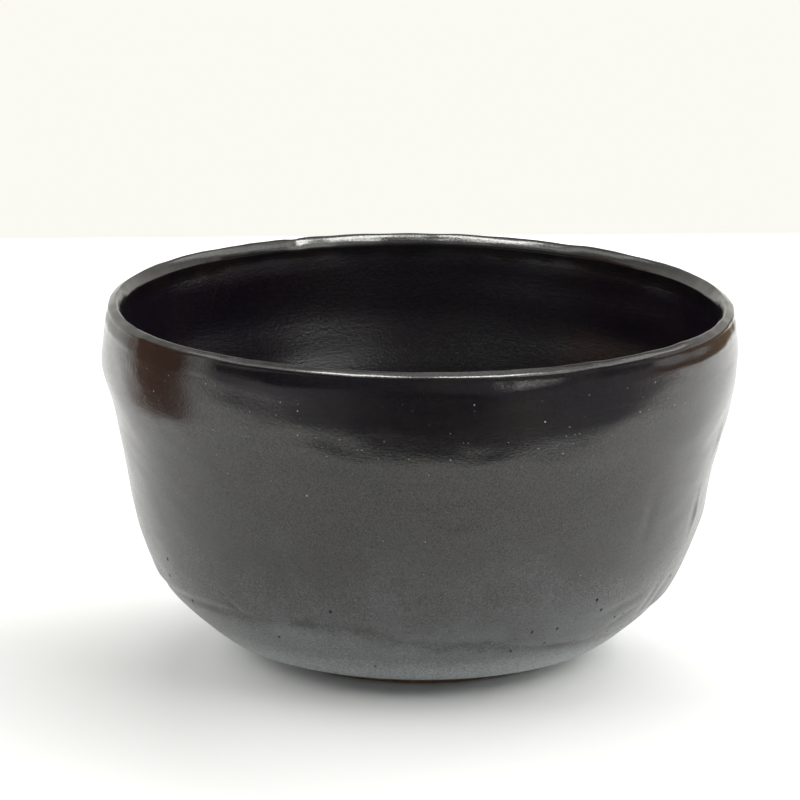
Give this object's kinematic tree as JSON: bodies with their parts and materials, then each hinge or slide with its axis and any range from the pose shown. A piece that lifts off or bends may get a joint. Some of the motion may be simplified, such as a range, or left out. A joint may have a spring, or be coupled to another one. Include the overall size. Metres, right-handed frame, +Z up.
{
  "type": "matcha bowl",
  "caption": "Hand-formed tea bowl with a rounded hip, an upright rim, a low foot ring and a thin black glaze inside and out.",
  "frame": {"origin": "middle of the foot's contact face, on the surface the bowl stands on", "axes": "+Z up along the bowl's axis of revolution, out of its mouth; X and Y are level"},
  "size_m": [0.122, 0.122, 0.0688],
  "materials": {
    "clay": "unglazed, matt",
    "foot_clay": "unglazed, matt, slightly sandy",
    "outer_glaze": "semi-gloss black with fine brush texture and pinholes",
    "inner_glaze": "semi-gloss black with fine horizontal streaks",
    "lip_glaze": "gloss black, thin",
    "recess_glaze": "semi-gloss black"
  },
  "bodies": {
    "root": {"clay_body": "clay", "foot_ring": "foot_clay", "outer_glaze": "outer_glaze", "inner_glaze": "inner_glaze", "lip_glaze": "lip_glaze", "recess_glaze": "recess_glaze"}
  },
  "joints": []
}
